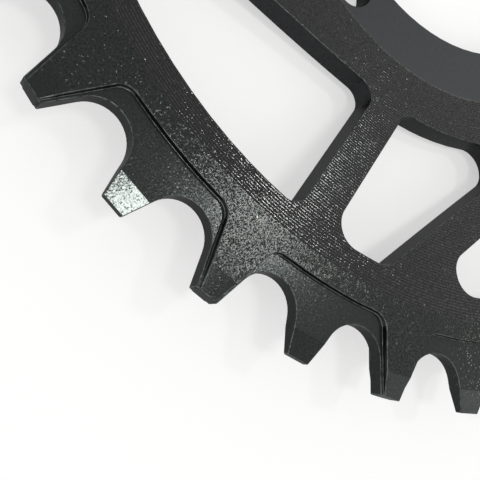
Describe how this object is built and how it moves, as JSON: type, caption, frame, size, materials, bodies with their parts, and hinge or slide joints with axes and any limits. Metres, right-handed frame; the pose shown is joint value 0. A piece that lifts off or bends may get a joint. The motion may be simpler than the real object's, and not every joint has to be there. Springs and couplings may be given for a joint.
{
  "type": "bicycle chainring",
  "caption": "Dished bicycle chainring with alternating wide and narrow teeth, a web of struts and slanted braces between open windows, a round bore and a ring of bolt holes.",
  "frame": {"origin": "centre of the bore, at the hub's lower face, which the ring rests on", "axes": "+Z along the bore towards the toothed rim, +X through the middle of a wide tooth"},
  "size_m": [0.1512, 0.1512, 0.0089],
  "materials": {
    "body": "bead-blasted and turned, black anodised"
  },
  "bodies": {
    "root": {"chainring": "body"}
  },
  "joints": []
}
